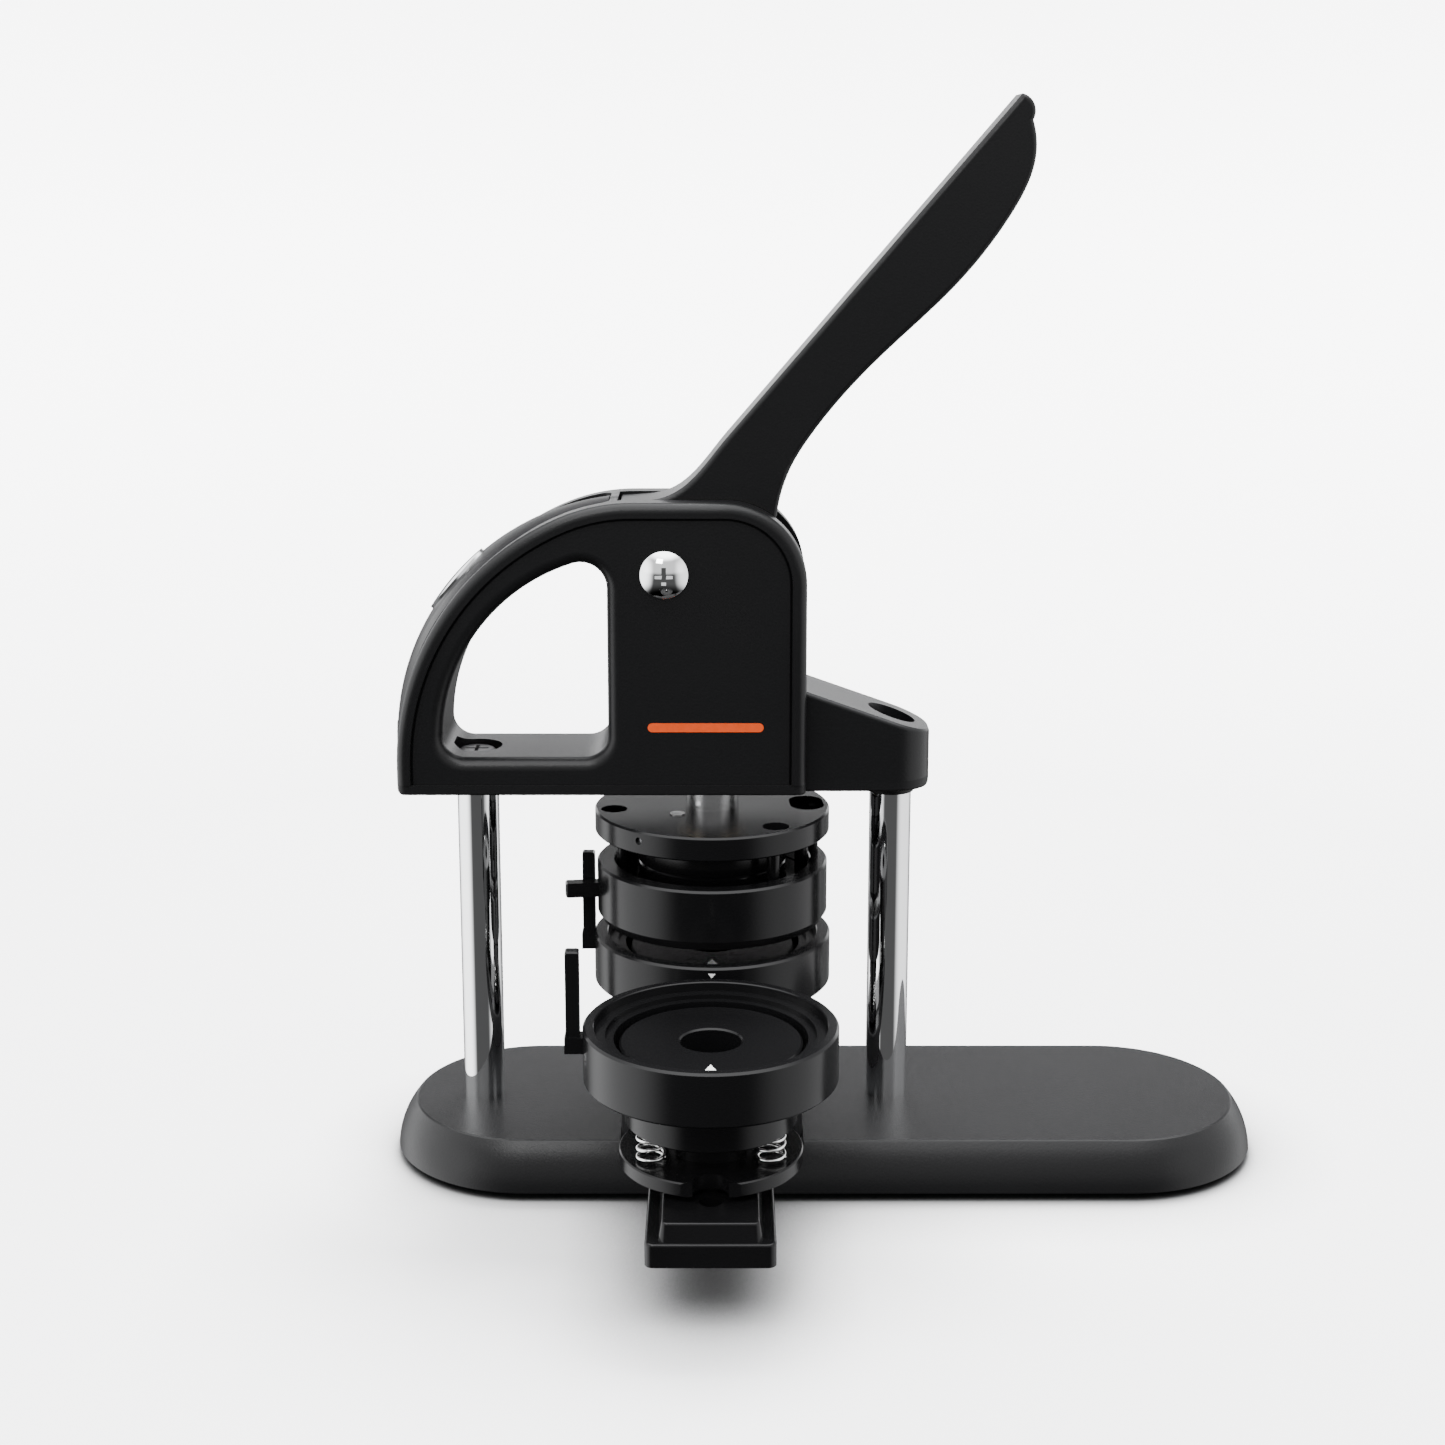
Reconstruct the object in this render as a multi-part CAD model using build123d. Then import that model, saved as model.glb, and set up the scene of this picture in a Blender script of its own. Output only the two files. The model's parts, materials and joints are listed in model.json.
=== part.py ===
"""Hand-lever button badge maker for 58 mm badges.

Millimetres, +Z up.  The origin is on the press axis, at table level.  +X runs
along the base, away from the left post, and -Y is the operator's side.
"""
from build123d import *
import math
import os

# ---- table, base and feet --------------------------------------------------
FOOT_HEIGHT = 2.8
FOOT_RADIUS = 8.0
BASE_LENGTH = 295.0
BASE_WIDTH = 95.0
BASE_HEIGHT = 15.8
BASE_CENTRE_X = 38.6
BASE_TOP_INSET = 6.6
BASE_FOOT_DRAFT_DEG = 4.0
BASE_EDGE_ROUND = 0.9
BASE_WALL = 3.4
HOLLOW_DRAFT_DEG = 20.0
BASE_PLATE_THICK = 2.0
SADDLE_DEPTH = 1.2

# ---- posts -----------------------------------------------------------------
POST_RADIUS = 7.0
POST_LEFT_X = -79.1
POST_RIGHT_X = 60.2
POST_FOOT_Z = 7.4
COLLAR_RADIUS = 7.8
COLLAR_HEIGHT = 3.2

# ---- head ------------------------------------------------------------------
HEAD_Z0 = 130.6
HEAD_PLATE_THICK = 3.4
HEAD_X0 = -103.8
HEAD_X1 = 31.0
HEAD_TOP_Z = 227.4
HEAD_HALF_DEPTH = 20.2
CROWN_RADIUS = 90.0
CROWN_START_Z = 140.0
SHOULDER_RADIUS = 60.0
HEAD_CORNER_RADIUS = 27.0
HEAD_WALL = 4.0
HEAD_SKIN = 4.2
RIM_WIDTH = 4.7
RIM_HEIGHT = 0.9
RIM_GROOVE_WIDTH = 0.9
RIM_GROOVE_DEPTH = 0.7
RIM_ROUND = 3.0
ARCH_X = -24.1
ARCH_Z = 146.3
ARCH_RADIUS = 81.4
ARCH_RISE = 3.3
ARCH_HALF_WIDTH = 17.0
WINDOW_X0 = -88.6
WINDOW_X1 = -34.1
WINDOW_Z0 = 142.7
WINDOW_ARC_RADIUS = 62.4
WINDOW_ARC_Z = 148.0
WINDOW_WALL = 4.4
WINDOW_ROUND = 3.8
SLOT_X0 = -30.7
SLOT_RIB = 2.6
SLOT_Z0 = 176.0
SLOT_HALF_WIDTH = 10.6
STRIP_HALF_WIDTH = 12.0
STRIP_DEPTH = 1.5
ARM_END_X = 72.7
ARM_HALF_WIDTH = 15.0
ARM_END_RADIUS = 12.4
ARM_INNER_TOP_Z = 164.4
ARM_OUTER_TOP_Z = 149.6
ARM_SEAT_Z = 144.0
ARM_SEAT_RADIUS = 7.85

# ---- lever and its pivot ---------------------------------------------------
PIVOT_X = -15.4
PIVOT_Z = 204.2
PIVOT_RADIUS = 4.0
BOLT_HEAD_RADIUS = 7.8
BOLT_DOME_RADIUS = 11.6
BOLT_DOME_SINK = 8.2
BOLT_RECESS_LENGTH = 5.8
BOLT_RECESS_WIDTH = 1.5
BADGE_ANGLE_DEG = 138.5
BADGE_HALF_WIDTH = 8.5
BADGE_HALF_LENGTH = 13.0
LEVER_HALF_THICK = 10.0
HUB_RADIUS = 12.0
BUSH_RADIUS = 6.0
CAM_HALF_THICK = 5.0
CAM_BASE_RADIUS = -PIVOT_X
CAM_START_DROP = 16.0
LEVER_SWING_DEG = 50.0

# ---- ram and upper die -----------------------------------------------------
RAM_RADIUS = 9.0
RUNNING_GAP = 0.05
CAM_GAP = 0.3
DIE_RADIUS = 39.0
UPPER_PLATE_RADIUS = 39.6
UPPER_PLATE_Z0 = 113.9
UPPER_PLATE_Z1 = 121.9
CORE_RADIUS = 24.8
CORE_SEAM_Z = 103.2
CORE_Z0 = 87.5
BUSHING_TOP_Z = 158.0
RAM_COLLAR_Z = 182.0
RAM_COLLAR_THICK = 2.5
PEG_RADIUS = 2.2
PEG_CIRCLE = 30.2
PEG_ANGLES = (184.0, 157.0, 2.0, -48.0)
PEG_HEAD_RADIUS = 2.9
PEG_HEAD_Z0 = 91.6
PEG_HEAD_Z1 = 93.7
PEG_STUD_RADIUS = 1.4
PLATE_HOLE_RADIUS = 4.4
PLATE_HOLE_CIRCLE = 33.3
PLATE_HOLE_ANGLES = (189.0, -51.0, 69.0)
LOCK_PIN_RADIUS = 2.5
LOCK_PIN_Z0 = 117.0
SET_SCREW_RADIUS = 1.25
SET_SCREW_LENGTH = 14.0
SET_SCREW_Z = 118.6
SET_SCREW_DEG = 233.0

# ---- swivel ring -----------------------------------------------------------
SWIVEL_Z0 = 83.3
SWIVEL_Z1 = 103.7
SWIVEL_INNER = 33.0
SWIVEL_POCKET = 36.3
SWIVEL_DEG = 7.2
SWIVEL_FOOT_INSET = 2.0
SWIVEL_FOOT_RISE = 3.1
CARRIER_Z0 = 94.2
CARRIER_Z1 = 97.0
RETAINER_HEIGHT = 5.5

# ---- die slide and the two lower dies ---------------------------------------
SLIDE_TRAVEL = 88.0
RAIL_Z0 = 18.9
RAIL_FLANGE_Z1 = 26.3
RAIL_Z1 = 32.2
RAIL_FLANGE_HALF = 19.3
RAIL_BLOCK_HALF = 15.4
RAIL_BLOCK_DRAFT_DEG = 10.0
RAIL_OVERHANG = 41.2
RAIL_CORNER = 2.6
RAIL_EDGE_ROUND = 0.9
RAIL_BLOCK_SETBACK = 0.9
RAIL_HOLE_RADIUS = 3.5
RAIL_HOLE_INSET = 15.7
GUIDE_HALF_WIDTH = 30.0
GUIDE_HALF_LENGTH = 38.0
GUIDE_Z1 = 31.2
SLIDE_GAP = 0.3
DIE_PLATE_RADIUS = 28.3
DIE_PLATE_Z0 = 34.2
DIE_PLATE_Z1 = 38.7
DIE_PEDESTAL_RADIUS = 18.0
NOTCH_RADIUS = 5.4
NOTCH_FLAT_HALF = 9.0
NECK_RADIUS = 13.5
DISC_RADIUS = 28.0
DISC_Z0 = 64.3
DISC_Z1 = 72.8
DISC_HOLE_RADIUS = 9.35
DISC_HOLE_Z = 60.0
RING_Z0 = 61.0
RING_Z1 = 78.1
RING_BORE = 29.65
RING_RECESS = 35.6
RING_STEP_RADIUS = 32.2
RING_STEP_Z = 75.2
RING_SHELF_Z = 73.8
CUP_RADIUS = 26.35
CUP_Z0 = 47.6
RING_B_RADIUS = 40.2
SPRING_CIRCLE = 21.0
SPRING_RADIUS = 4.1
SPRING_WIRE = 0.55
SPRING_ANGLES = (210.0, 330.0, 90.0)
ROD_SIDE = 4.2
ROD_X1 = -39.9

BASE_Z0 = FOOT_HEIGHT
BASE_Z1 = BASE_Z0 + BASE_HEIGHT
COVER_Z0 = HEAD_Z0 + HEAD_PLATE_THICK
RAM_TOP_Z = PIVOT_Z - CAM_START_DROP - CAM_GAP
FEET = ((0.0, 0.0), (-50.0, -31.0), (-50.0, 31.0), (128.0, -31.0), (128.0, 31.0))
COVER_SCREWS = ((22.5, 147.0), (-22.5, 147.0), (-95.4, 152.0), (-67.6, 205.0), (-42.0, 217.3))
BASE_SCREWS = tuple((x, side * y) for x, y in ((-88.0, 14.0), (90.0, 30.0), (168.0, 14.0)) for side in (-1, 1))
GUIDE_SCREWS = ((-24.5, -28.0), (24.5, -28.0), (-24.5, 28.0), (24.5, 28.0))
BUSHING_SCREWS = ((-18.5, -10.0), (18.5, -10.0), (-18.5, 10.0), (18.5, 10.0))
ARM_SCREWS = ((38.0, -9.0), (38.0, 9.0))
DIE_SCREWS = tuple((x, y) for y in (-SLIDE_TRAVEL, 0.0) for x in (-8.5, 8.5))
CAM_PINS = ((PIVOT_X + 1.0, PIVOT_Z + 9.0), (PIVOT_X + 14.0, PIVOT_Z + 5.5))
LOCK_PIN_AT = (-11.6, -11.2)


# ---- small helpers -----------------------------------------------------------
def rod(radius, z0, z1, x=0.0, y=0.0):
    """Upright solid cylinder between two heights."""
    return Pos(x, y, (z0 + z1) / 2) * Cylinder(radius, z1 - z0)


def tube(outer, inner, z0, z1, x=0.0, y=0.0):
    """Upright hollow cylinder between two heights."""
    return rod(outer, z0, z1, x, y) - rod(inner, z0 - 1, z1 + 1, x, y)


def block(x0, x1, y0, y1, z0, z1):
    """Box given by its two corners."""
    centre = Pos((x0 + x1) / 2, (y0 + y1) / 2, (z0 + z1) / 2)
    return centre * Box(x1 - x0, y1 - y0, z1 - z0)


def cross_rod(radius, y0, y1, x, z):
    """Cylinder along Y between two depths."""
    return Pos(x, (y0 + y1) / 2, z) * Rot(90, 0, 0) * Cylinder(radius, y1 - y0)


def slab(profile, y0, y1):
    """Profile drawn in X and Z, given thickness along Y."""
    return Pos(0, y1, 0) * extrude(Plane.XZ * profile, amount=y1 - y0)


def polar(radius, degrees, centre_y=0.0):
    """Point at an angle on a circle about the press axis."""
    angle = math.radians(degrees)
    return radius * math.cos(angle), centre_y + radius * math.sin(angle)


def revolved(points, x=0.0, y=0.0):
    """Solid of revolution about an upright axis from (radius, height) points."""
    outline = make_face(Polyline(*points, close=True))
    return Pos(x, y, 0) * revolve(Plane.XZ * outline, axis=Axis.Z)


def coil(radius, wire, z0, z1, turns, x=0.0, y=0.0):
    """Compression spring that stands between two heights."""
    height = z1 - z0 - 2 * wire
    path = Helix(pitch=height / turns, height=height, radius=radius)
    section = Plane(origin=path @ 0, z_dir=path % 0) * Circle(wire)
    return Pos(x, y, z0 + wire) * sweep(section, path=path, is_frenet=True)


def cross_recess(size, depth, top_z, x, y):
    """Cutter for a cross-head screw's recess."""
    bar = block(-size, size, -0.16 * size, 0.16 * size, -depth, 1)
    return Pos(x, y, top_z) * (bar + Rot(0, 0, 90) * bar)


def pan_screw(head_radius, head_height, shank_radius, shank_length, head_z, x, y):
    """Upright cross-head screw whose head's underside is at head_z."""
    head = rod(head_radius, head_z, head_z + head_height, x, y)
    head = fillet(head.edges().group_by(Axis.Z)[-1], 0.6 * head_height)
    head = head - cross_recess(0.6 * head_radius, 0.7 * head_height, head_z + head_height, x, y)
    return head + rod(shank_radius, head_z - shank_length, head_z, x, y)


def group(solids):
    """Identical pieces that share one node."""
    return Compound(children=list(solids))


def slot_outline(inset):
    """Plan outline of the base, drawn in by an inset."""
    return Pos(BASE_CENTRE_X, 0) * SlotOverall(BASE_LENGTH - 2 * inset, BASE_WIDTH - 2 * inset)


# ---- base --------------------------------------------------------------------
def base_block():
    """Racetrack block whose wall leans in along an arc towards its top edge."""
    half = BASE_WIDTH / 2
    lean = math.radians(BASE_FOOT_DRAFT_DEG)
    top = (half - BASE_TOP_INSET, BASE_Z1)
    floor = Line((0, BASE_Z0), (half, BASE_Z0))
    wall = TangentArc((half, BASE_Z0), top, tangent=(-math.sin(lean), math.cos(lean)))
    deck = Line(top, (0, BASE_Z1))
    axis = Line((0, BASE_Z1), (0, BASE_Z0))
    section = make_face([floor, wall, deck, axis])
    end = revolve(Plane.XZ * section, axis=Axis.Z)
    reach = BASE_LENGTH / 2 - half
    side = extrude(Plane.YZ * section, amount=reach, both=True)
    middle = side + mirror(side, about=Plane.XZ)
    body = middle + Pos(reach, 0, 0) * end + Pos(-reach, 0, 0) * end
    return Pos(BASE_CENTRE_X, 0, 0) * body


def base_shell():
    body = base_block()
    body = fillet(body.edges().group_by(Axis.Z)[-1], BASE_EDGE_ROUND)
    hollow_depth = BASE_HEIGHT - BASE_WALL - SADDLE_DEPTH
    hollow = extrude(slot_outline(BASE_WALL), amount=hollow_depth, taper=HOLLOW_DRAFT_DEG)
    body -= Pos(0, 0, BASE_Z0) * hollow
    saddle_half = GUIDE_HALF_WIDTH + SLIDE_GAP
    saddle = block(-saddle_half, saddle_half, -BASE_WIDTH, BASE_WIDTH, BASE_Z1 - SADDLE_DEPTH, BASE_Z1 + 5)
    body -= saddle
    for x in (POST_LEFT_X, POST_RIGHT_X):
        body += rod(POST_RADIUS + 4, BASE_Z0 + BASE_PLATE_THICK, BASE_Z1 - 1, x)
        body -= rod(POST_RADIUS, POST_FOOT_Z, BASE_Z1 + 1, x)
        body -= rod(2.5, BASE_Z0 - 1, POST_FOOT_Z + 1, x)
        body -= rod(5.4, BASE_Z0 - 1, BASE_Z0 + 3.2, x)
    for x, y in BASE_SCREWS:
        body += rod(4.0, BASE_Z0 + BASE_PLATE_THICK, BASE_Z1 - BASE_WALL, x, y)
        body -= rod(1.5, BASE_Z0 - 1, BASE_Z0 + 9, x, y)
    for x, y in GUIDE_SCREWS:
        body -= rod(2.0, BASE_Z0, BASE_Z1 + 1, x, y)
    return body


def base_bottom_plate():
    thick = BASE_PLATE_THICK
    plate = Pos(0, 0, BASE_Z0) * extrude(slot_outline(BASE_WALL + 1.0), amount=thick)
    for x in (POST_LEFT_X, POST_RIGHT_X):
        plate -= rod(6.4, BASE_Z0 - 1, BASE_Z0 + thick + 1, x)
    for x, y in BASE_SCREWS:
        plate -= rod(1.7, BASE_Z0 - 1, BASE_Z0 + thick + 1, x, y)
    for x, y in GUIDE_SCREWS:
        plate -= rod(4.4, BASE_Z0 - 1, BASE_Z0 + thick + 1, x, y)
    return plate


def rubber_feet():
    feet = []
    for x, y in FEET:
        foot = rod(FOOT_RADIUS, 0, FOOT_HEIGHT, x, y)
        feet.append(chamfer(foot.edges().group_by(Axis.Z)[0], 0.5))
    return group(feet)


def base_screws():
    return group(
        rod(3.0, BASE_Z0 - 1.2, BASE_Z0, x, y) + rod(1.5, BASE_Z0, BASE_Z0 + 8.5, x, y)
        for x, y in BASE_SCREWS
    )


def guide_screws():
    top = BASE_Z1 - SADDLE_DEPTH
    return group(
        rod(3.6, top - BASE_WALL - 2.4, top - BASE_WALL, x, y) + rod(1.9, top - BASE_WALL, top + 6, x, y)
        for x, y in GUIDE_SCREWS
    )


def post(x):
    bar = rod(POST_RADIUS, POST_FOOT_Z, HEAD_Z0, x)
    bar = chamfer(bar.edges(), 0.6)
    bar -= rod(2.5, POST_FOOT_Z - 1, POST_FOOT_Z + 18, x)
    return bar - rod(2.5, HEAD_Z0 - 18, HEAD_Z0 + 1, x)


def post_lower_bolts():
    return group(
        rod(5.0, BASE_Z0 + 0.4, BASE_Z0 + 3.2, x) + rod(2.5, BASE_Z0 + 3.2, POST_FOOT_Z + 16, x)
        for x in (POST_LEFT_X, POST_RIGHT_X)
    )


def post_collars():
    return group(
        tube(COLLAR_RADIUS, POST_RADIUS, HEAD_Z0 - COLLAR_HEIGHT, HEAD_Z0, x)
        for x in (POST_LEFT_X, POST_RIGHT_X)
    )


# ---- head --------------------------------------------------------------------
def head_outline(bottom_z):
    """Side outline of the head: straight back, round crown, square front corner."""
    crown_x = HEAD_X0 + CROWN_RADIUS
    shoulder_z = HEAD_TOP_Z - SHOULDER_RADIUS
    step = CROWN_RADIUS - SHOULDER_RADIUS
    rise = shoulder_z - CROWN_START_Z
    run = math.sqrt(step**2 - rise**2)
    shoulder_x = crown_x - run
    join = (crown_x - run * CROWN_RADIUS / step, CROWN_START_Z + rise * CROWN_RADIUS / step)
    corner = HEAD_CORNER_RADIUS
    back = Line((HEAD_X0, bottom_z), (HEAD_X0, CROWN_START_Z))
    crown = TangentArc((HEAD_X0, CROWN_START_Z), join, tangent=(0, 1))
    shoulder = TangentArc(join, (shoulder_x, HEAD_TOP_Z), tangent=crown % 1)
    top = Line((shoulder_x, HEAD_TOP_Z), (HEAD_X1 - corner, HEAD_TOP_Z))
    bend = TangentArc((HEAD_X1 - corner, HEAD_TOP_Z), (HEAD_X1, HEAD_TOP_Z - corner), tangent=(1, 0))
    front = Line((HEAD_X1, HEAD_TOP_Z - corner), (HEAD_X1, bottom_z))
    floor = Line((HEAD_X1, bottom_z), (HEAD_X0, bottom_z))
    return make_face([back, crown, shoulder, top, bend, front, floor])


def crown_arch(inset):
    """Convex cap over the crown, drawn in by an inset."""
    radius = ARCH_RADIUS - inset
    edge = radius - ARCH_RISE
    half = ARCH_HALF_WIDTH
    low = Line((0, -half), (edge, -half))
    arch = ThreePointArc((edge, -half), (radius, 0), (edge, half))
    high = Line((edge, half), (0, half))
    axis = Line((0, half), (0, -half))
    section = make_face([low, arch, high, axis])
    return Pos(ARCH_X, 0, ARCH_Z) * revolve(section, axis=Axis.Y)


def strip_region(gap):
    """Plan region of the crown's strip, whose end by the lever's slot is rounded."""
    outline = RectangleRounded(200, 2 * (STRIP_HALF_WIDTH - gap), 4.0, align=(Align.MAX, Align.CENTER))
    place = Pos(SLOT_X0 - SLOT_RIB - gap, 0, CROWN_START_Z + 12 + gap)
    return place * extrude(outline, amount=100)


def window_outline():
    """The hand window: an arc on the left, square on the right, round corners."""
    radius = WINDOW_ARC_RADIUS
    arc_x = WINDOW_X0 + radius
    top_z = WINDOW_ARC_Z + math.sqrt(radius**2 - (WINDOW_X1 - arc_x) ** 2)
    low_x = arc_x - math.sqrt(radius**2 - (WINDOW_ARC_Z - WINDOW_Z0) ** 2)
    arc = ThreePointArc((low_x, WINDOW_Z0), (WINDOW_X0, WINDOW_ARC_Z), (WINDOW_X1, top_z))
    front = Line((WINDOW_X1, top_z), (WINDOW_X1, WINDOW_Z0))
    floor = Line((WINDOW_X1, WINDOW_Z0), (low_x, WINDOW_Z0))
    face = make_face([arc, front, floor])
    corners = face.vertices().sort_by(Axis.Y)
    low_left, low_right = corners[:2].sort_by(Axis.X)
    face = fillet(low_right, 8.0)
    low_left = face.vertices().sort_by(Axis.X)[:2].sort_by(Axis.Y)[0]
    face = fillet(low_left, 7.2)
    top_right = face.vertices().sort_by(Axis.Y)[-1]
    return fillet(top_right, 8.5)


def head_shell():
    """Both covers as one shell, before it is parted along its middle."""
    half = HEAD_HALF_DEPTH
    outline = head_outline(COVER_Z0)
    tall_outline = head_outline(COVER_Z0 - 30)
    window = window_outline()
    rim = slab(outline, -half, half)
    face_edges = rim.edges().filter_by(lambda e: abs(abs(e.center().Y) - half) < 0.01)
    rim = fillet([e for e in face_edges if e.center().Z > COVER_Z0 + 0.1], RIM_ROUND)
    inside = offset(tall_outline, amount=-RIM_WIDTH) & outline
    rim -= slab(inside, -half - 1, half + 1)
    panel_y = half - RIM_HEIGHT
    panel = block(-200, 100, -panel_y, panel_y, 60, 300) - slab(window, -half - 1, half + 1)
    mouth = [
        e
        for e in panel.edges()
        if abs(abs(e.center().Y) - panel_y) < 0.01
        and WINDOW_X0 - 1 < e.center().X < WINDOW_X1 + 1
        and WINDOW_Z0 - 1 < e.center().Z < HEAD_TOP_Z
    ]
    panel = fillet(mouth, WINDOW_ROUND) & slab(inside, -half, half)
    panel_edge = offset(tall_outline, amount=-RIM_WIDTH - RIM_GROOVE_WIDTH + RIM_GROOVE_DEPTH)
    plug = extrude(Plane.XZ * panel_edge, amount=RIM_GROOVE_DEPTH + 1, taper=45)
    plug = Pos(0, RIM_GROOVE_DEPTH - panel_y, 0) * plug
    groove = slab(inside, -panel_y - 1, RIM_GROOVE_DEPTH - panel_y) - plug
    panel -= groove + mirror(groove, about=Plane.XZ)
    shell = rim + panel
    cavity = offset(tall_outline, amount=-HEAD_WALL) - offset(window, amount=WINDOW_WALL)
    shell -= slab(cavity, -half + HEAD_SKIN, half - HEAD_SKIN)
    cap = crown_arch(0) - slab(offset(tall_outline, amount=-HEAD_WALL), -half, half)
    shell += cap & block(-200, SLOT_X0, -half, half, COVER_Z0, 300)
    shell -= block(SLOT_X0, HEAD_X1 + 9, -SLOT_HALF_WIDTH, SLOT_HALF_WIDTH, SLOT_Z0, HEAD_TOP_Z + 9)
    shell -= strip_region(0) - crown_arch(STRIP_DEPTH)
    for side in (-1, 1):
        boss_outer = side * (half - HEAD_SKIN)
        boss_inner = side * (LEVER_HALF_THICK + SLIDE_GAP)
        y0, y1 = sorted((boss_outer, boss_inner))
        shell += cross_rod(9.0, y0, y1, PIVOT_X, PIVOT_Z)
    shell -= cross_rod(PIVOT_RADIUS, -half - 5, half + 5, PIVOT_X, PIVOT_Z)
    reach = half - HEAD_SKIN
    for x, z in COVER_SCREWS:
        shell += cross_rod(3.6, -reach, reach, x, z)
    boss = rod(11.0, COVER_Z0, WINDOW_Z0 - 0.2, POST_LEFT_X)
    shell += boss
    shell -= rod(3.0, COVER_Z0 - 1, WINDOW_Z0 + 1, POST_LEFT_X)
    shell -= rod(8.5, WINDOW_Z0 - 3.2, WINDOW_Z0 + 2, POST_LEFT_X)
    return shell


def head_covers():
    shell = head_shell()
    front = shell & block(-200, 200, -60, 0, 0, 400)
    rear = shell & block(-200, 200, 0, 60, 0, 400)
    for x, z in COVER_SCREWS:
        front -= cross_rod(1.5, -12, 1, x, z)
        rear -= cross_rod(1.6, -1, 40, x, z)
        rear -= cross_rod(3.3, HEAD_HALF_DEPTH - 3.5, 40, x, z)
    return front, rear


def head_plate_outline():
    main = Pos((HEAD_X0 + HEAD_X1) / 2, 0) * RectangleRounded(
        HEAD_X1 - HEAD_X0, 2 * HEAD_HALF_DEPTH - 0.6, 3.0
    )
    return main + arm_outline(HEAD_X1 - 6)


def arm_outline(x0):
    arm = Pos((x0 + ARM_END_X) / 2, 0) * Rectangle(ARM_END_X - x0, 2 * ARM_HALF_WIDTH)
    ends = arm.vertices().group_by(Axis.X)[-1]
    return fillet(ends, ARM_END_RADIUS)


def head_bottom_plate():
    plate = Pos(0, 0, HEAD_Z0) * extrude(head_plate_outline(), amount=HEAD_PLATE_THICK)
    plate = fillet(plate.edges().group_by(Axis.Z)[0], 0.7)
    centre = Pos((HEAD_X0 + ARM_END_X) / 2, (HEAD_Z0 + COVER_Z0) / 2)
    side = centre * Rectangle(ARM_END_X - HEAD_X0, HEAD_PLATE_THICK)
    low_ends = side.vertices().group_by(Axis.Y)[0]
    plate &= slab(fillet(low_ends, 2.6), -HEAD_HALF_DEPTH, HEAD_HALF_DEPTH)
    plate -= rod(12.0, HEAD_Z0 - 1, COVER_Z0 + 1)
    for x in (POST_LEFT_X, POST_RIGHT_X):
        plate -= rod(3.0, HEAD_Z0 - 1, COVER_Z0 + 1, x)
    for x, y in BUSHING_SCREWS:
        plate -= rod(1.5, HEAD_Z0 - 1, COVER_Z0 + 1, x, y)
    for x, y in ARM_SCREWS:
        plate -= rod(2.0, HEAD_Z0 - 1, COVER_Z0 + 1, x, y)
        plate -= rod(3.6, HEAD_Z0 - 1, HEAD_Z0 + 2.0, x, y)
    return plate


def head_arm():
    """Bracket that carries the head's load to the right-hand post."""
    z0 = COVER_Z0
    profile = make_face(
        Polyline((HEAD_X1, z0), (HEAD_X1, ARM_INNER_TOP_Z), (ARM_END_X, ARM_OUTER_TOP_Z), (ARM_END_X, z0), close=True)
    )
    arm = slab(profile, -ARM_HALF_WIDTH, ARM_HALF_WIDTH)
    arm &= Pos(0, 0, z0) * extrude(arm_outline(HEAD_X1), amount=60)
    top_edges = [e for e in arm.edges() if e.center().Z > 145 and e.center().X > HEAD_X1 + 0.5]
    outer = [e for e in top_edges if abs(e.center().Y) > 8 or e.center().X > ARM_END_X - 2]
    arm = fillet(outer, 1.4)
    arm -= rod(3.0, z0 - 1, 170, POST_RIGHT_X)
    arm -= rod(ARM_SEAT_RADIUS, ARM_SEAT_Z, 170, POST_RIGHT_X)
    for x, y in ARM_SCREWS:
        arm -= rod(1.6, z0 - 1, z0 + 12, x, y)
    return arm


def arm_screws():
    return group(
        rod(3.2, HEAD_Z0 + 0.2, HEAD_Z0 + 2.0, x, y) + rod(1.6, HEAD_Z0 + 2.0, COVER_Z0 + 11, x, y)
        for x, y in ARM_SCREWS
    )


def arc_strip():
    """Thin strip let into the crown, over the seam between the covers."""
    return (crown_arch(0.2) - crown_arch(STRIP_DEPTH)) & strip_region(0.4)


def badge_plate():
    """Blank oval name plate on the crown's strip."""
    angle = math.radians(BADGE_ANGLE_DEG)
    outward = Vector(math.cos(angle), 0, math.sin(angle))
    centre = Vector(ARCH_X, 0, ARCH_Z) + outward * (ARCH_RADIUS - 8)
    place = Plane(origin=centre, x_dir=(0, 1, 0), z_dir=outward)
    layer = crown_arch(-0.7) - crown_arch(0.2)
    return layer & extrude(place * Ellipse(BADGE_HALF_WIDTH, BADGE_HALF_LENGTH), amount=20)


def pivot_bolt():
    half = HEAD_HALF_DEPTH
    seat = half - RIM_HEIGHT
    ball = Pos(PIVOT_X, BOLT_DOME_SINK - seat, PIVOT_Z) * Sphere(BOLT_DOME_RADIUS)
    head = ball & cross_rod(BOLT_HEAD_RADIUS, -seat - 5, -seat, PIVOT_X, PIVOT_Z)
    recess = Pos(PIVOT_X, -seat - 0.2, PIVOT_Z) * Rot(90, 0, 0)
    low_centre = (Align.CENTER, Align.CENTER, Align.MIN)
    bar = Box(BOLT_RECESS_LENGTH, BOLT_RECESS_WIDTH, 9.0, align=low_centre)
    head -= recess * (bar + Rot(0, 0, 90) * bar)
    return head + cross_rod(PIVOT_RADIUS, -seat, half + 5.5, PIVOT_X, PIVOT_Z)


def pivot_nut():
    seat = HEAD_HALF_DEPTH - RIM_HEIGHT
    hexagon = Rot(90, 0, 0) * extrude(RegularPolygon(7.2, 6), amount=6.0, both=False)
    nut = Pos(PIVOT_X, seat + 6.0, PIVOT_Z) * hexagon
    return nut - cross_rod(PIVOT_RADIUS, seat - 1, seat + 9, PIVOT_X, PIVOT_Z)


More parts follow.
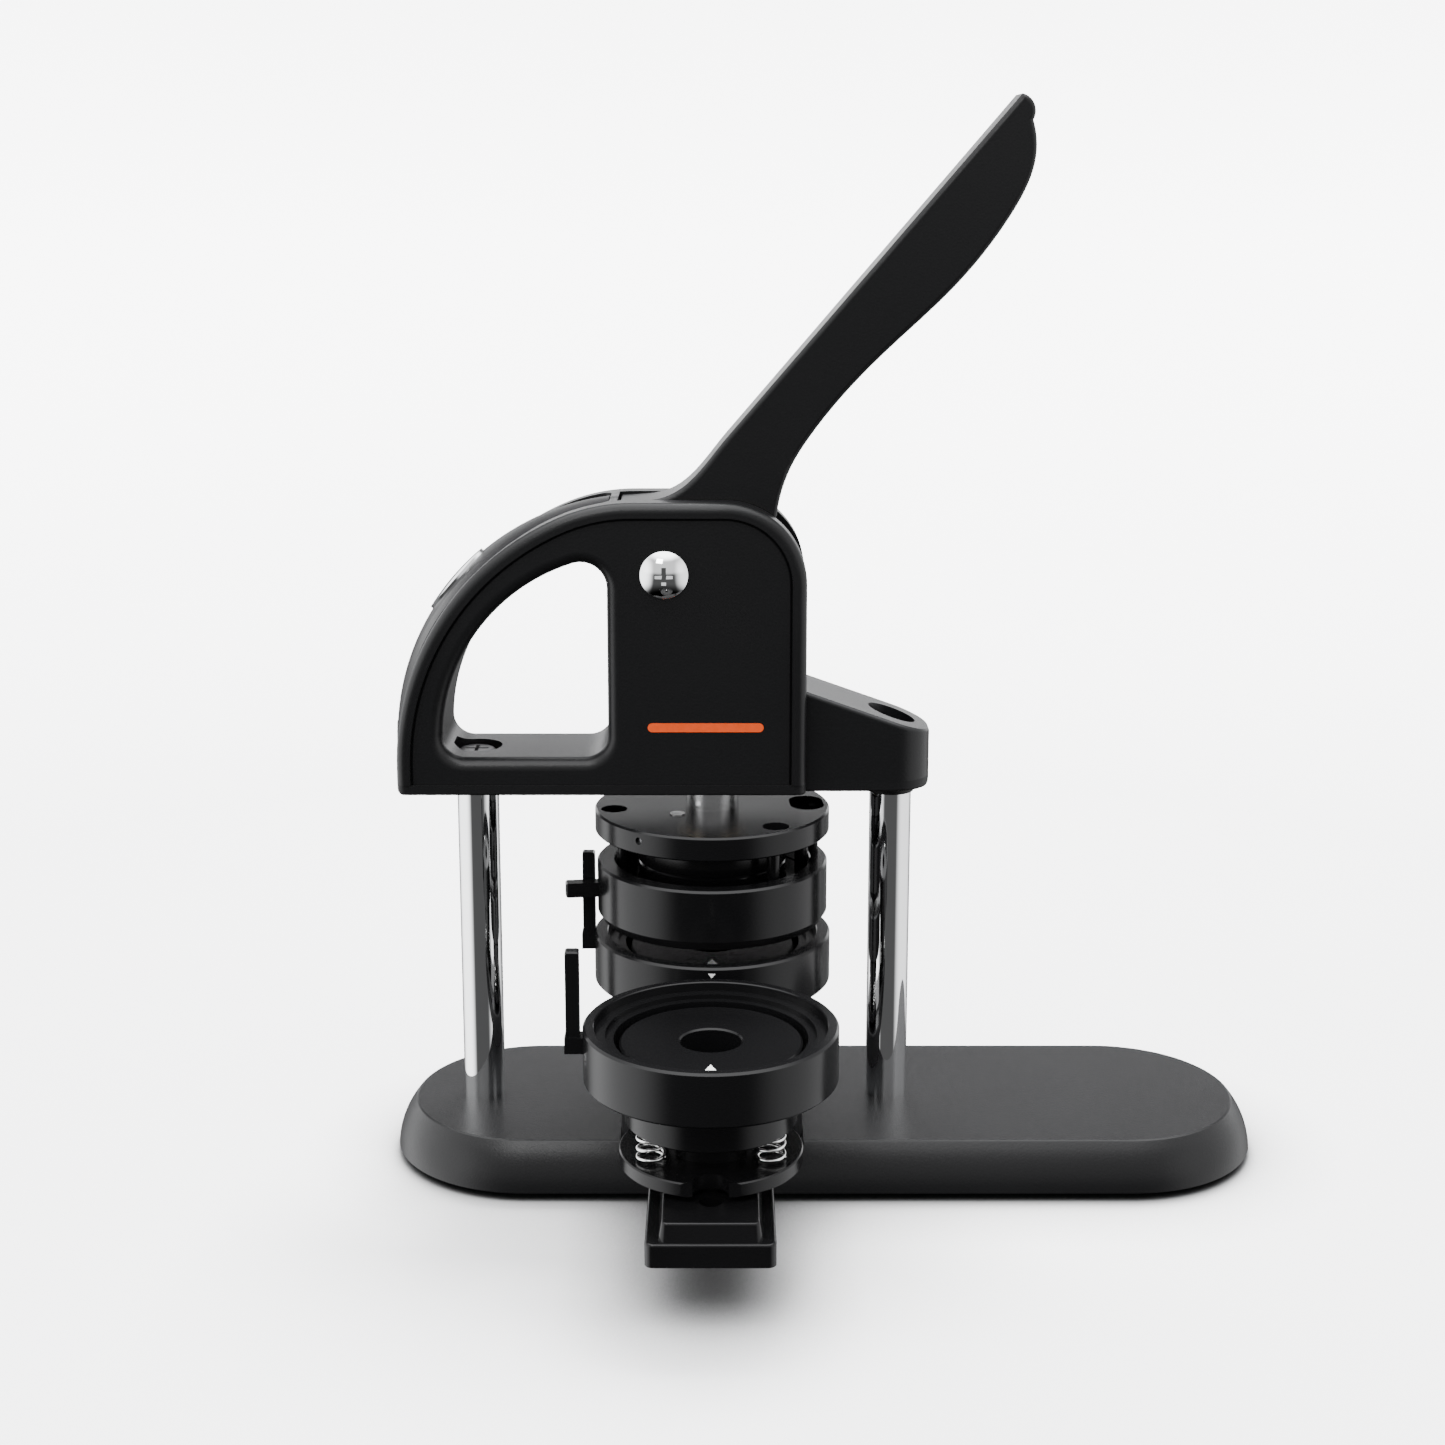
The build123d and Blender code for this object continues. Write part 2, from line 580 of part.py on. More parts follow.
def cover_screws():
    """Screws that hold the rear cover to the front one, driven from behind."""
    seat = HEAD_HALF_DEPTH - 3.5
    screws = []
    for x, z in COVER_SCREWS:
        head = cross_rod(3.0, seat, seat + 2.2, x, z)
        bar = Box(3.6, 0.7, 1.6)
        head -= Pos(x, seat + 2.2, z) * Rot(90, 0, 0) * (bar + Rot(0, 0, 90) * bar)
        screws.append(head + cross_rod(1.5, -11, seat, x, z))
    return group(screws)


def ram_bushing():
    sleeve = tube(12.0, RAM_RADIUS + RUNNING_GAP, HEAD_Z0, BUSHING_TOP_Z)
    flange = Pos(0, 0, COVER_Z0) * extrude(RectangleRounded(48.0, 30.0, 5.0), amount=4)
    body = sleeve + (flange - rod(11.0, HEAD_Z0, BUSHING_TOP_Z))
    for x, y in BUSHING_SCREWS:
        body -= rod(1.5, COVER_Z0 - 1, COVER_Z0 + 5, x, y)
    return body


def bushing_screws():
    return group(
        rod(2.5, COVER_Z0 + 4, COVER_Z0 + 6, x, y) + rod(1.5, HEAD_Z0 + 0.4, COVER_Z0 + 4, x, y)
        for x, y in BUSHING_SCREWS
    )


# ---- guide and slide -----------------------------------------------------------
def slide_guide():
    """Channel on the base whose lips hold the T-shaped rail down."""
    z0 = BASE_Z1 - SADDLE_DEPTH
    length = 2 * GUIDE_HALF_LENGTH
    body = Pos(0, 0, z0) * extrude(RectangleRounded(2 * GUIDE_HALF_WIDTH, length, 4.0), amount=GUIDE_Z1 - z0)
    body = fillet(body.edges().group_by(Axis.Z)[-1], 1.2)
    wide = RAIL_FLANGE_HALF + SLIDE_GAP
    narrow = RAIL_BLOCK_HALF + SLIDE_GAP
    body -= block(-wide, wide, -60, 60, RAIL_Z0 - SLIDE_GAP, RAIL_FLANGE_Z1 + SLIDE_GAP)
    body -= block(-narrow, narrow, -60, 60, RAIL_FLANGE_Z1, GUIDE_Z1 + 5)
    for x, y in GUIDE_SCREWS:
        body -= rod(1.9, z0 - 1, z0 + 6, x, y)
    return body


def slide_rail():
    """T-shaped rail with a die at each end."""
    y0 = -SLIDE_TRAVEL - RAIL_OVERHANG
    y1 = RAIL_OVERHANG
    mid = (y0 + y1) / 2
    flange = RectangleRounded(2 * RAIL_FLANGE_HALF, y1 - y0, RAIL_CORNER)
    head = RectangleRounded(2 * RAIL_BLOCK_HALF, y1 - y0 - 2 * RAIL_BLOCK_SETBACK, RAIL_CORNER)
    lower = Pos(0, mid, RAIL_Z0) * extrude(flange, amount=RAIL_FLANGE_Z1 - RAIL_Z0)
    lower = fillet(lower.edges().group_by(Axis.Z)[-1], RAIL_EDGE_ROUND)
    upper = extrude(head, amount=RAIL_Z1 - RAIL_FLANGE_Z1, taper=RAIL_BLOCK_DRAFT_DEG)
    upper = fillet(upper.edges().group_by(Axis.Z)[-1], RAIL_EDGE_ROUND)
    rail = lower + Pos(0, mid, RAIL_FLANGE_Z1) * upper
    for y in (y0 + RAIL_HOLE_INSET, y1 - RAIL_HOLE_INSET):
        rail -= rod(RAIL_HOLE_RADIUS, RAIL_Z1 - 9, RAIL_Z1 + 1, 0, y)
    for x, y in DIE_SCREWS:
        rail -= rod(2.0, RAIL_Z0 - 1, RAIL_Z1 + 1, x, y)
        rail -= rod(3.9, RAIL_Z0 - 1, RAIL_Z0 + 3, x, y)
    return rail


def die_screws():
    return group(
        rod(3.7, RAIL_Z0 + 0.6, RAIL_Z0 + 3, x, y) + rod(2.0, RAIL_Z0 + 3, RAIL_Z1 + 3.6, x, y)
        for x, y in DIE_SCREWS
    )


def die_base(y, notch_side):
    """Foot plate of a lower die, with a notch over the rail's hole."""
    plate = rod(DIE_PLATE_RADIUS, DIE_PLATE_Z0, DIE_PLATE_Z1, 0, y)
    plate = chamfer(plate.edges().filter_by(GeomType.CIRCLE), 0.4)
    flat_y = y + notch_side * math.sqrt(DIE_PLATE_RADIUS**2 - NOTCH_FLAT_HALF**2)
    y0, y1 = sorted((flat_y, flat_y + notch_side * 8))
    plate -= block(-NOTCH_FLAT_HALF, NOTCH_FLAT_HALF, y0, y1, DIE_PLATE_Z0 - 1, DIE_PLATE_Z1 + 1)
    notch_y = y + notch_side * (DIE_PLATE_RADIUS - 2.2)
    plate -= rod(NOTCH_RADIUS, DIE_PLATE_Z0 - 1, DIE_PLATE_Z1 + 1, 0, notch_y)
    y0, y1 = sorted((notch_y, notch_y + notch_side * 8))
    plate -= block(-NOTCH_RADIUS, NOTCH_RADIUS, y0, y1, DIE_PLATE_Z0 - 1, DIE_PLATE_Z1 + 1)
    plate += rod(DIE_PEDESTAL_RADIUS, RAIL_Z1, DIE_PLATE_Z0, 0, y)
    for x, screw_y in DIE_SCREWS:
        plate -= rod(2.0, RAIL_Z1 - 1, RAIL_Z1 + 3.6, x, screw_y)
    plate -= rod(2.5, RAIL_Z1 - 1, DIE_PLATE_Z1 + 1, 0, y)
    return plate - rod(4.4, RAIL_Z1 - 1, RAIL_Z1 + 2.4, 0, y)


def die_core(y):
    """Fixed neck and disc that a badge is pressed against."""
    points = [
        (0, DIE_PLATE_Z1), (NECK_RADIUS, DIE_PLATE_Z1), (NECK_RADIUS, DISC_Z0), (DISC_RADIUS, DISC_Z0),
        (DISC_RADIUS, DISC_Z1 - 0.6), (DISC_RADIUS - 0.6, DISC_Z1), (DISC_HOLE_RADIUS + 0.5, DISC_Z1),
        (DISC_HOLE_RADIUS, DISC_Z1 - 0.5), (DISC_HOLE_RADIUS, DISC_HOLE_Z), (0, DISC_HOLE_Z),
    ]
    return revolved(points, 0, y) - rod(2.5, DIE_PLATE_Z1 - 1, DIE_PLATE_Z1 + 9, 0, y)


def die_core_screws():
    return group(
        rod(4.2, RAIL_Z1 + 0.2, RAIL_Z1 + 2.4, 0, y) + rod(2.5, RAIL_Z1 + 2.4, DIE_PLATE_Z1 + 8.5, 0, y)
        for y in (-SLIDE_TRAVEL, 0.0)
    )


def die_ring(y, radius):
    """Floating ring around a lower die's disc, with a stepped recess on top."""
    points = [
        (CUP_RADIUS - 3.2, RING_Z0), (radius - 0.8, RING_Z0), (radius, RING_Z0 + 0.8),
        (radius, RING_Z1 - 0.7), (radius - 0.7, RING_Z1), (RING_RECESS + 0.3, RING_Z1),
        (RING_RECESS, RING_Z1 - 0.3), (RING_RECESS, RING_STEP_Z), (RING_STEP_RADIUS, RING_STEP_Z),
        (RING_STEP_RADIUS, RING_SHELF_Z), (RING_BORE, RING_SHELF_Z),
        (RING_BORE, RING_Z0 + 3), (CUP_RADIUS - 3.2, RING_Z0 + 3),
    ]
    return revolved(points, 0, y)


def die_cup(y):
    """Cup under the floating ring that the three springs push up."""
    points = [
        (NECK_RADIUS + 0.4, CUP_Z0), (CUP_RADIUS - 0.6, CUP_Z0), (CUP_RADIUS, CUP_Z0 + 0.6),
        (CUP_RADIUS, RING_Z0), (CUP_RADIUS - 3.2, RING_Z0), (CUP_RADIUS - 3.2, CUP_Z0 + 3),
        (NECK_RADIUS + 0.4, CUP_Z0 + 3),
    ]
    return revolved(points, 0, y)


def die_springs(y):
    return group(
        coil(SPRING_RADIUS, SPRING_WIRE, DIE_PLATE_Z1, CUP_Z0 - SLIDE_GAP, 2.6, *polar(SPRING_CIRCLE, a, y))
        for a in SPRING_ANGLES
    )


def die_rod(y, ring_radius, z0, z1, foot_height):
    """Upright finger on a ring's left side that turns the swivel ring."""
    half = ROD_SIDE / 2
    bar = block(ROD_X1 - ROD_SIDE, ROD_X1, y - half, y + half, z0, z1)
    bar = chamfer(bar.edges().group_by(Axis.Z)[-1], 0.5)
    foot_x0 = ROD_X1 - ROD_SIDE - 0.4
    bar += block(foot_x0, -36.0, y - half - 0.8, y + half + 0.8, z0, z0 + foot_height)
    return bar - rod(ring_radius, z0 - 1, RING_Z1, 0, y)


# ---- upper die and swivel ring ---------------------------------------------------
def upper_plate():
    plate = rod(UPPER_PLATE_RADIUS, UPPER_PLATE_Z0, UPPER_PLATE_Z1)
    plate = chamfer(plate.edges(), 0.6)
    plate -= rod(RAM_RADIUS, UPPER_PLATE_Z0 - 1, UPPER_PLATE_Z1 + 1)
    for degrees in PLATE_HOLE_ANGLES:
        hole_at = polar(PLATE_HOLE_CIRCLE, degrees)
        plate -= rod(PLATE_HOLE_RADIUS, UPPER_PLATE_Z0 - 1, UPPER_PLATE_Z1 + 1, *hole_at)
    window = Rot(0, 0, 4.0) * Pos(32.0, 0) * Rot(0, 0, 90) * SlotOverall(17.0, 11.4)
    plate -= Pos(0, 0, UPPER_PLATE_Z0 - 1) * extrude(window, amount=12)
    plate -= rod(LOCK_PIN_RADIUS, LOCK_PIN_Z0, UPPER_PLATE_Z1 + 1, *LOCK_PIN_AT)
    for degrees in PEG_ANGLES:
        plate -= rod(PEG_STUD_RADIUS, UPPER_PLATE_Z0 - 1, UPPER_PLATE_Z0 + 5, *polar(PEG_CIRCLE, degrees))
    return plate - set_screw_rod()


def set_screw_rod():
    """Radial rod that ends at the plate's rim."""
    centre = Pos(UPPER_PLATE_RADIUS - SET_SCREW_LENGTH / 2, 0, SET_SCREW_Z)
    bar = centre * Rot(0, 90, 0) * Cylinder(SET_SCREW_RADIUS, SET_SCREW_LENGTH)
    return Rot(0, 0, SET_SCREW_DEG) * bar


def set_screw():
    sunk_end = Pos(UPPER_PLATE_RADIUS, 0, SET_SCREW_Z) * Box(2.4, 4, 4)
    return set_screw_rod() - Rot(0, 0, SET_SCREW_DEG) * sunk_end


def lock_pin():
    return rod(LOCK_PIN_RADIUS, LOCK_PIN_Z0, UPPER_PLATE_Z1 + 0.3, *LOCK_PIN_AT)


def core_upper():
    body = rod(CORE_RADIUS, CORE_SEAM_Z, UPPER_PLATE_Z0)
    body = chamfer(body.edges().group_by(Axis.Z)[0], 0.5)
    return body - rod(3.0, CORE_SEAM_Z - 1, UPPER_PLATE_Z0 + 1)


def press_disc():
    body = rod(CORE_RADIUS, CORE_Z0, CORE_SEAM_Z)
    body = chamfer(body.edges(), 0.5)
    body -= rod(3.0, CORE_Z0 - 1, CORE_SEAM_Z + 1)
    return body - rod(6.0, CORE_Z0 - 1, CORE_Z0 + 6)


def core_bolt():
    head = rod(5.6, CORE_Z0 + 1.0, CORE_Z0 + 6)
    head -= Pos(0, 0, CORE_Z0) * extrude(RegularPolygon(3.0, 6), amount=3.5)
    return head + rod(3.0, CORE_Z0 + 6, UPPER_PLATE_Z0 + 20)


def guide_pegs():
    """Headed pegs under the plate; the ring carrier slides on them."""
    pegs = []
    for degrees in PEG_ANGLES:
        x, y = polar(PEG_CIRCLE, degrees)
        shank = rod(PEG_RADIUS, PEG_HEAD_Z1 - 0.1, UPPER_PLATE_Z0, x, y)
        stud = rod(PEG_STUD_RADIUS, UPPER_PLATE_Z0, UPPER_PLATE_Z0 + 5, x, y)
        pegs.append(shank + stud + rod(PEG_HEAD_RADIUS, PEG_HEAD_Z0, PEG_HEAD_Z1, x, y))
    return group(pegs)


def ram_shaft():
    bar = rod(RAM_RADIUS, UPPER_PLATE_Z0, RAM_TOP_Z)
    bar = chamfer(bar.edges(), 0.5)
    return bar - rod(3.0, UPPER_PLATE_Z0 - 1, UPPER_PLATE_Z0 + 20)


def ram_collar():
    return tube(13.0, RAM_RADIUS, RAM_COLLAR_Z, RAM_COLLAR_Z + RAM_COLLAR_THICK)


def return_spring():
    return coil(11.0, 1.0, BUSHING_TOP_Z, RAM_COLLAR_Z - SLIDE_GAP, 4.5)


def carrier_ring():
    """Flat ring inside the swivel ring; it rises and falls but doesn't turn."""
    ring = tube(SWIVEL_POCKET - 0.3, CORE_RADIUS + 0.5, CARRIER_Z0, CARRIER_Z1)
    for degrees in PEG_ANGLES:
        ring -= rod(PEG_RADIUS + 0.3, CARRIER_Z0 - 1, CARRIER_Z1 + 1, *polar(PEG_CIRCLE, degrees))
    return ring


def swivel_ring():
    """Upper ring that the fingers on the lower rings turn by a few degrees."""
    points = [
        (SWIVEL_POCKET, SWIVEL_Z0), (DIE_RADIUS - SWIVEL_FOOT_INSET, SWIVEL_Z0),
        (DIE_RADIUS, SWIVEL_Z0 + SWIVEL_FOOT_RISE),
        (DIE_RADIUS, SWIVEL_Z1 - 0.7), (DIE_RADIUS - 0.7, SWIVEL_Z1), (SWIVEL_INNER + 0.4, SWIVEL_Z1),
        (SWIVEL_INNER, SWIVEL_Z1 - 0.4), (SWIVEL_INNER, CARRIER_Z1 + SLIDE_GAP),
        (SWIVEL_POCKET, CARRIER_Z1 + SLIDE_GAP),
    ]
    return revolved(points)


def ring_retainer():
    """Snap ring that keeps the carrier up inside the swivel ring."""
    top = CARRIER_Z0 - SLIDE_GAP
    return tube(SWIVEL_POCKET, 33.9, top - RETAINER_HEIGHT, top)


def swivel_stop_pin():
    """Pin that stands in the plate's long window and limits the ring's swing."""
    x, y = polar(35.2, 4.0 + SWIVEL_DEG)
    return rod(1.7, SWIVEL_Z1, 119.9, x, y)


def swivel_arm():
    bar = block(-50.0, -37.0, -2.2, 2.2, 91.5, 96.5)
    bar = chamfer(bar.edges().group_by(Axis.X)[0], 0.5)
    bar -= rod(DIE_RADIUS, 80, 110)
    return Rot(0, 0, SWIVEL_DEG) * bar


# ---- lever -----------------------------------------------------------------------
def lever_outline():
    """Side outline of the lever: a blade with a swollen tip, a neck and a heel."""
    heel = (SLOT_X0 + 1.0, HEAD_TOP_Z - 0.9)
    heel_end = (-21.0, HEAD_TOP_Z - 0.4)
    top_start = (5.3, 248.0)
    tip = (97.6, 355.6)
    tip_low = (101.2, 347.5)
    shank = (28.6, 243.0)
    root = (21.2, 222.0)
    lower = Spline(tip_low, (102.0, 334.0), (94.7, 317.8), (78.0, 296.2), (54.2, 273.5), (34.6, 251.6), shank)
    throat = TangentArc(shank, root, tangent=lower % 1)
    neck = Spline(heel_end, (-11.0, 230.2), top_start, tangents=[(1.0, 0.06), (0.66, 0.76)])
    blade = Line(top_start, tip)
    nose = ThreePointArc(tip, (100.7, 353.6), tip_low)
    heel_top = Line(heel, heel_end)
    hub_right = (PIVOT_X + HUB_RADIUS * 0.72, PIVOT_Z - HUB_RADIUS * 0.694)
    web = Line(root, hub_right)
    hub = RadiusArc(hub_right, (PIVOT_X - HUB_RADIUS, PIVOT_Z), HUB_RADIUS, short_sagitta=True)
    back = Line((PIVOT_X - HUB_RADIUS, PIVOT_Z), heel)
    return make_face([heel_top, neck, blade, nose, lower, throat, web, hub, back])


def lever_arm():
    body = slab(lever_outline(), -LEVER_HALF_THICK, LEVER_HALF_THICK)
    sides = [
        e for e in body.edges()
        if abs(abs(e.center().Y) - LEVER_HALF_THICK) < 0.01 and e.center().Z > 232
    ]
    body = fillet(sides, 1.6)
    body -= cross_rod(BUSH_RADIUS, -20, 20, PIVOT_X, PIVOT_Z)
    body -= slab(cam_outline(), -CAM_HALF_THICK, CAM_HALF_THICK)
    for x, z in CAM_PINS:
        body -= cross_rod(1.5, -20, 20, x, z)
    return body


def cam_outline():
    """Involute cam: the ram's travel is its base radius times the lever's angle."""
    swing = math.radians(LEVER_SWING_DEG)
    steps = 8
    curve = []
    for i in range(steps + 1):
        turn = swing * i / steps
        drop = CAM_START_DROP + CAM_BASE_RADIUS * turn
        x = CAM_BASE_RADIUS * math.cos(turn) + drop * math.sin(turn)
        z = CAM_BASE_RADIUS * math.sin(turn) - drop * math.cos(turn)
        curve.append((PIVOT_X + x, PIVOT_Z + z))
    flank = Spline(*curve)
    hub_start = (PIVOT_X, PIVOT_Z - 11.0)
    toe = Line(hub_start, curve[0])
    nose = Line(curve[-1], (PIVOT_X + 25.0, PIVOT_Z + 11.0))
    top = Line((PIVOT_X + 25.0, PIVOT_Z + 11.0), (PIVOT_X, PIVOT_Z + 11.0))
    hub = ThreePointArc((PIVOT_X, PIVOT_Z + 11.0), (PIVOT_X - 11.0, PIVOT_Z), hub_start)
    return make_face([toe, flank, nose, top, hub])


def lever_cam():
    cam = slab(cam_outline(), -CAM_HALF_THICK, CAM_HALF_THICK)
    cam -= cross_rod(BUSH_RADIUS, -20, 20, PIVOT_X, PIVOT_Z)
    for x, z in CAM_PINS:
        cam -= cross_rod(1.5, -20, 20, x, z)
    return cam


def cam_pins():
    reach = LEVER_HALF_THICK - 0.4
    return group(cross_rod(1.5, -reach, reach, x, z) for x, z in CAM_PINS)


def pivot_bush():
    outer = cross_rod(BUSH_RADIUS, -LEVER_HALF_THICK, LEVER_HALF_THICK, PIVOT_X, PIVOT_Z)
    return outer - cross_rod(PIVOT_RADIUS + RUNNING_GAP, -20, 20, PIVOT_X, PIVOT_Z)


# ---- the whole machine -------------------------------------------------------------
def build_all():
    front, rear = head_covers()
    y_a = -SLIDE_TRAVEL
    return {
        "base_shell": base_shell(),
        "base_bottom_plate": base_bottom_plate(),
        "rubber_feet": rubber_feet(),
        "base_screws": base_screws(),
        "guide_screws": guide_screws(),
        "post_left": post(POST_LEFT_X),
        "post_right": post(POST_RIGHT_X),
        "post_lower_bolts": post_lower_bolts(),
        "post_collars": post_collars(),
        "post_screw_left": pan_screw(6.4, 2.2, 2.5, 22.0, WINDOW_Z0 - 3.2, POST_LEFT_X, 0),
        "post_screw_right": pan_screw(6.6, 3.0, 2.5, 26.0, ARM_SEAT_Z, POST_RIGHT_X, 0),
        "head_front_cover": front,
        "head_rear_cover": rear,
        "head_bottom_plate": head_bottom_plate(),
        "head_arm": head_arm(),
        "arm_screws": arm_screws(),
        "arc_strip": arc_strip(),
        "name_plate": badge_plate(),
        "pivot_bolt": pivot_bolt(),
        "pivot_nut": pivot_nut(),
        "cover_screws": cover_screws(),
        "ram_bushing": ram_bushing(),
        "bushing_screws": bushing_screws(),
        "return_spring": return_spring(),
        "slide_guide": slide_guide(),
        "lever_arm": lever_arm(),
        "lever_cam": lever_cam(),
        "cam_pins": cam_pins(),
        "pivot_bush": pivot_bush(),
        "ram_shaft": ram_shaft(),
        "ram_collar": ram_collar(),
        "upper_plate": upper_plate(),
        "core_upper": core_upper(),
        "press_disc": press_disc(),
        "core_bolt": core_bolt(),
        "guide_pegs": guide_pegs(),
        "lock_pin": lock_pin(),
        "set_screw": set_screw(),
        "carrier_ring": carrier_ring(),
        "swivel_ring": swivel_ring(),
        "ring_retainer": ring_retainer(),
        "swivel_arm": swivel_arm(),
        "swivel_stop_pin": swivel_stop_pin(),
        "slide_rail": slide_rail(),
        "die_screws": die_screws(),
        "die_core_screws": die_core_screws(),
        "die_a_base": die_base(y_a, -1),
        "die_a_core": die_core(y_a),
        "die_a_springs": die_springs(y_a),
        "die_a_ring": die_ring(y_a, DIE_RADIUS),
        "die_a_cup": die_cup(y_a),
        "die_a_rod": die_rod(y_a, DIE_RADIUS, 69.4, 101.7, 5.1),
        "die_b_base": die_base(0.0, 1),
        "die_b_core": die_core(0.0),
        "die_b_springs": die_springs(0.0),
        "die_b_ring": die_ring(0.0, RING_B_RADIUS),
        "die_b_cup": die_cup(0.0),
        "die_b_rod": die_rod(0.0, RING_B_RADIUS, 71.5, 105.5, 5.5),
    }


os.makedirs("parts", exist_ok=True)
for name, shape in build_all().items():
    export_step(shape, f"parts/{name}.step")
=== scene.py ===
"""The looks of a hand-lever button badge maker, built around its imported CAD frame."""

import json
import math

import bmesh
import bpy
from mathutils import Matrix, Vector


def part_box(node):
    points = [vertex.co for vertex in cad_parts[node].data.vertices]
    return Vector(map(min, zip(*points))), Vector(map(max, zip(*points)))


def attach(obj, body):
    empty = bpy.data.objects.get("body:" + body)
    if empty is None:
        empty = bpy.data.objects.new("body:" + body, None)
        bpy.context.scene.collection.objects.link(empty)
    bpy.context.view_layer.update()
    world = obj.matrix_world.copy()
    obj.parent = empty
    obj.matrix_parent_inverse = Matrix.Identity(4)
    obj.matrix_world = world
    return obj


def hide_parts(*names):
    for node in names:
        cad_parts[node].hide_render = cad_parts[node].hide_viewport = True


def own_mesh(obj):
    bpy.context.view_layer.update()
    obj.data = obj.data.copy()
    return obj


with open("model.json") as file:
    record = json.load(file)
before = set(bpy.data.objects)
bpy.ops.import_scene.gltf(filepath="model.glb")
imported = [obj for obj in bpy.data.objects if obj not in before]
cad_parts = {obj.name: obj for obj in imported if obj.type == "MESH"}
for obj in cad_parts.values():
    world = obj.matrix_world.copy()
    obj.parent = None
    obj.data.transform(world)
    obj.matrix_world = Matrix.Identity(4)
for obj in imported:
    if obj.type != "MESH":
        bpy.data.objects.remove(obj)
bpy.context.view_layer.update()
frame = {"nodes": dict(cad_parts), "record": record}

NODES = frame["nodes"]
MM = 0.001
X_AXIS = Vector((1, 0, 0))
Y_AXIS = Vector((0, 1, 0))
Z_AXIS = Vector((0, 0, 1))

# The camera stands in front of the press axis and looks a little down.
CAMERA_AT = Vector((3.5, -722.5, 329.7)) * MM
CAMERA_PITCH_DEG = 11.86
CAMERA_SENSOR_MM = 36.0
CAMERA_LENS_MM = 55.15
CAMERA_SHIFT_Y = -0.0554
CAMERA_CLIP_START = 0.01

# The die springs, in millimetres: three stand on a circle round each die's axis.
DIE_SPRING_CIRCLE = 21.0
DIE_SPRING_ANGLES = (210.0, 330.0, 90.0)
DIE_SPRING_COIL_RADIUS = 4.1
DIE_SPRING_WIRE_RADIUS = 0.55
DIE_SPRING_TURNS = 1.6
DIE_A_CENTRE_Y = -88.0
DIE_B_CENTRE_Y = 0.0

# The return spring round the ram, in millimetres.
RAM_SPRING_COIL_RADIUS = 11.0
RAM_SPRING_WIRE_RADIUS = 1.0
RAM_SPRING_WIRE_SIDES = 14
RAM_SPRING_TURNS = 2.6

# Every spring: its flat end turns, and their pitch in thicknesses of wire.
CLOSED_TURNS = 0.85
CLOSED_PITCH = 1.02
STEPS_PER_TURN = 36
WIRE_SIDES = 12

# The plain orange bar on the head's front panel: its centre in metres, its size in millimetres.
ACCENT_X = -0.002
ACCENT_Z = 0.1535
ACCENT_WIDTH = 38.0
ACCENT_HEIGHT = 3.0
ACCENT_END_STEPS = 8

# The white alignment marks, in millimetres, and how far in from the edge each is placed.
DISC_ARROW = [(-2.3, 0.0), (2.3, 0.0), (0.0, 6.0)]
RING_ARROW = [(-1.2, -0.6), (1.2, -0.6), (0.0, 0.9)]
DISC_A_ARROW_INSET = 2.8
DISC_B_ARROW_INSET = 5.2
RING_ARROW_DROP = 2.4

# All printing stands this proud of its surface, in metres, and goes half as far into it. It is
# placed by a line that starts clear: millimetres off a die, or in front of the whole press.
INK_PROUD = 0.00008
INK_SUNK_SHARE = 0.5
DIE_CLEARANCE = 10.0
PRESS_FRONT_Y = -0.1

# The stage, in metres: a flat disc of floor, then a quarter bend up to a wall.
FLOOR_RINGS = 15
FLOOR_FIRST_RING = 0.02
FLOOR_RING_GROWTH = 1.35
FLOOR_REACH = 1.6
BOWL_BEND = 1.4
BOWL_BEND_STEPS = 12
BOWL_HEIGHT = 4.0
BOWL_SIDES = 96

# The stage's finish: a shadow painted into its colour close to whatever stands on it, and its glow
# far out.
PAPER_DARK = (0.85, 0.85, 0.855, 1)
PAPER_LIGHT = (0.87, 0.87, 0.875, 1)
PAPER_SPECULAR = 0.1
PAINTED_SHADOW_REACH = 0.035
PAINTED_SHADOW_DEPTH = 2.0
PAINTED_SHADOW_SAMPLES = 8
FLOOR_GLOW = 0.0
WALL_GLOW = 5.0
GLOW_START = 0.5
GLOW_FULL = 2.4

# The light by direction: where each panel starts and is full along its axis, and its strength.
# FRONT_PANEL and HORIZON lie along Y, and their other rows trim them by height.
WORLD_TINT = (0.985, 0.99, 1.0, 1)
AMBIENT = 0.09
LEFT_PANEL = (-0.52, -0.92, 3.4)
RIGHT_PANEL = (0.5, 0.9, 1.8)
BACK_PANEL = (0.3, 0.9, 0.22)
TOP_PANEL = (0.6, 0.9, 6.0)
FRONT_PANEL = (-0.2, -0.7, 0.9)
FRONT_PANEL_LOW = (-0.12, 0.12, 1.0)
HORIZON = (0.45, 0.9, 2.7)
HORIZON_LOW = (-0.02, 0.04, 1.0)
HORIZON_HIGH = (0.27, 0.15, 1.0)
UNDERSIDE = (-0.9, -0.5, 1.0)

# The two lamps, in metres and watts.
HIGH_FRONT = {"at": (-0.3, -0.85, 0.95), "aim": (0, 0, 0.15), "size": (0.4, 0.3), "power": 4.0}
TOP_BACK = {"at": (0.1, 0.8, 1.7), "aim": (0, 0, 0), "size": (0.9, 0.7), "power": 130.0}

ABS_BLACK = (0.0062, 0.0062, 0.0066, 1.0)
DIE_BLACK = (0.0042, 0.0042, 0.0045, 1.0)
RUBBER_BLACK = (0.02, 0.02, 0.02, 1.0)
CHROME_SILVER = (0.955, 0.96, 0.965, 1.0)
SPRING_SILVER = (0.82, 0.82, 0.81, 1.0)
STEEL_GREY = (0.6, 0.6, 0.6, 1.0)
SCREW_GREY = (0.16, 0.16, 0.165, 1.0)
BRASS_YELLOW = (0.72, 0.5, 0.2, 1.0)
MARK_WHITE = (0.80, 0.80, 0.79, 1.0)
ACCENT_ORANGE = (0.72, 0.07, 0.003, 1.0)

DARK_SCREWS = ("post_screw_left", "post_screw_right")


